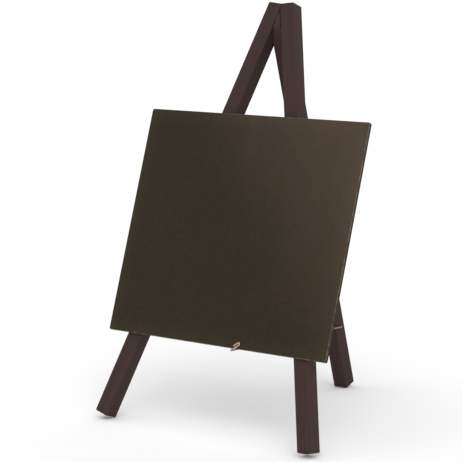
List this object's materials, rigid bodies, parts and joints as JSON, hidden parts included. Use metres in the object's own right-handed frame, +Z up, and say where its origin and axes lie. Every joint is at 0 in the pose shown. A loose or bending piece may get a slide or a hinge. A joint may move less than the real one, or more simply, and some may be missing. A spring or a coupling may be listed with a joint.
{
  "type": "tabletop chalkboard easel",
  "caption": "Tabletop easel with a dark chalkboard on splayed square wooden legs, a rear leg folding on a pin at the top, and a brass wire stay hooked under the board.",
  "frame": {"origin": "on the ground, in the middle of the easel's width and length, with the easel open", "axes": "+X to the viewer's right across the board, +Y from front to back, +Z up"},
  "size_m": [0.21, 0.2128, 0.3316],
  "materials": {
    "dark_wood": "satin lacquer",
    "chalkboard_paint": "matte paint on hardboard",
    "steel": "drawn",
    "brass": "drawn"
  },
  "bodies": {
    "front_frame": {"leg_front_left": "dark_wood", "leg_front_right": "dark_wood", "chalkboard": "chalkboard_paint", "pivot_pin": "steel"},
    "rear_leg": {"leg_rear": "dark_wood"},
    "stay": {"stay_hook": "brass"}
  },
  "joints": [
    {"name": "rear_leg_fold", "type": "hinge", "parent": "front_frame", "child": "rear_leg", "pos_m": [0, 0.00276, 0.31192], "axis": [-1, 0, 0], "range_deg": [0, 35.6]},
    {"name": "stay_swing", "type": "hinge", "parent": "rear_leg", "child": "stay", "pos_m": [0, 0.08391, 0.05611], "axis": [1, 0, 0], "range_deg": [0, 106.8]}
  ],
  "couplings": [
    {"joint": "stay_swing", "follows": "rear_leg_fold", "ratio": 3}
  ]
}
